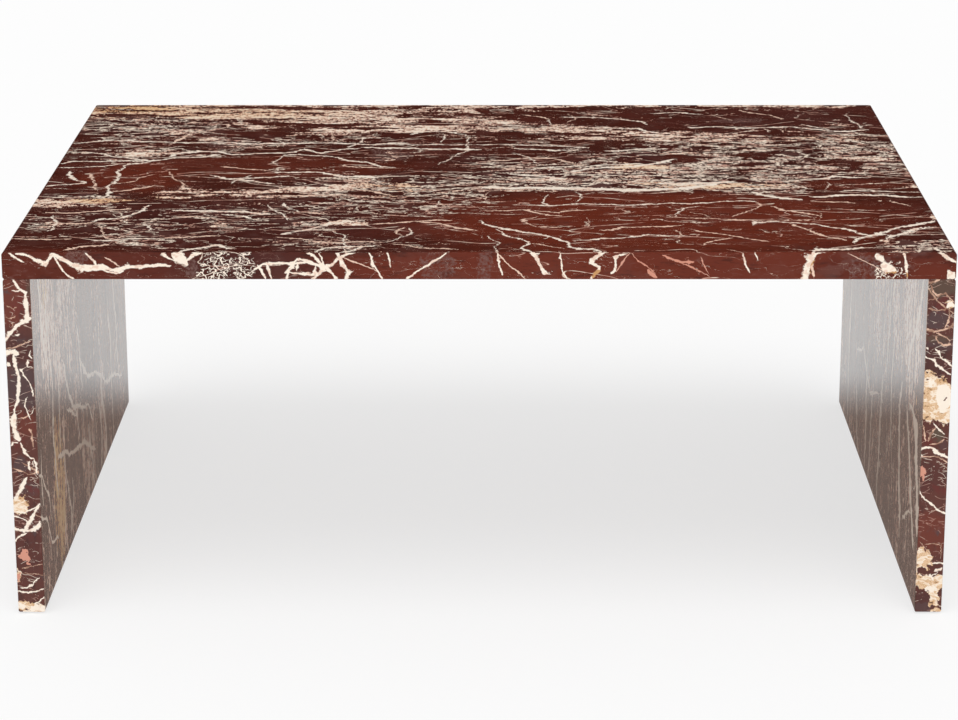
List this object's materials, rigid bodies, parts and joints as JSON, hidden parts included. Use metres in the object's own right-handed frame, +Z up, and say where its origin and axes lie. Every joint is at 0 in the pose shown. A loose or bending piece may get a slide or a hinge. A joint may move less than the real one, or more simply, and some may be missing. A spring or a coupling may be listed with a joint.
{
  "type": "marble coffee table",
  "caption": "Low rectangular coffee table: a thick veined dark red marble top laid across two full-depth upright marble slab legs, square edges, open front and back.",
  "frame": {"origin": "on the floor under the middle of the top", "axes": "+X to the right along the top's length, +Y to the back, +Z up"},
  "size_m": [1.04, 0.79, 0.42],
  "materials": {
    "marble": "polished dark red marble with cream veins",
    "bracket_steel": "satin bent steel plate",
    "stainless_steel": "bright turned stainless steel",
    "brass": "plain turned brass",
    "pad_felt": "dense pressed wool felt"
  },
  "bodies": {
    "root": {"tabletop_slab": "marble", "left_leg_slab": "marble", "right_leg_slab": "marble", "left_middle_foot_pad": "pad_felt", "right_middle_foot_pad": "pad_felt", "left_front_foot_pad": "pad_felt", "left_front_dowel": "stainless_steel", "left_front_bracket": "bracket_steel", "left_front_top_screws": "stainless_steel", "left_front_top_washers": "stainless_steel", "left_front_top_inserts": "brass", "left_front_leg_screws": "stainless_steel", "left_front_leg_washers": "stainless_steel", "left_front_leg_inserts": "brass", "left_back_foot_pad": "pad_felt", "left_back_dowel": "stainless_steel", "left_back_bracket": "bracket_steel", "left_back_top_screws": "stainless_steel", "left_back_top_washers": "stainless_steel", "left_back_top_inserts": "brass", "left_back_leg_screws": "stainless_steel", "left_back_leg_washers": "stainless_steel", "left_back_leg_inserts": "brass", "right_front_foot_pad": "pad_felt", "right_front_dowel": "stainless_steel", "right_front_bracket": "bracket_steel", "right_front_top_screws": "stainless_steel", "right_front_top_washers": "stainless_steel", "right_front_top_inserts": "brass", "right_front_leg_screws": "stainless_steel", "right_front_leg_washers": "stainless_steel", "right_front_leg_inserts": "brass", "right_back_foot_pad": "pad_felt", "right_back_dowel": "stainless_steel", "right_back_bracket": "bracket_steel", "right_back_top_screws": "stainless_steel", "right_back_top_washers": "stainless_steel", "right_back_top_inserts": "brass", "right_back_leg_screws": "stainless_steel", "right_back_leg_washers": "stainless_steel", "right_back_leg_inserts": "brass"}
  },
  "joints": []
}
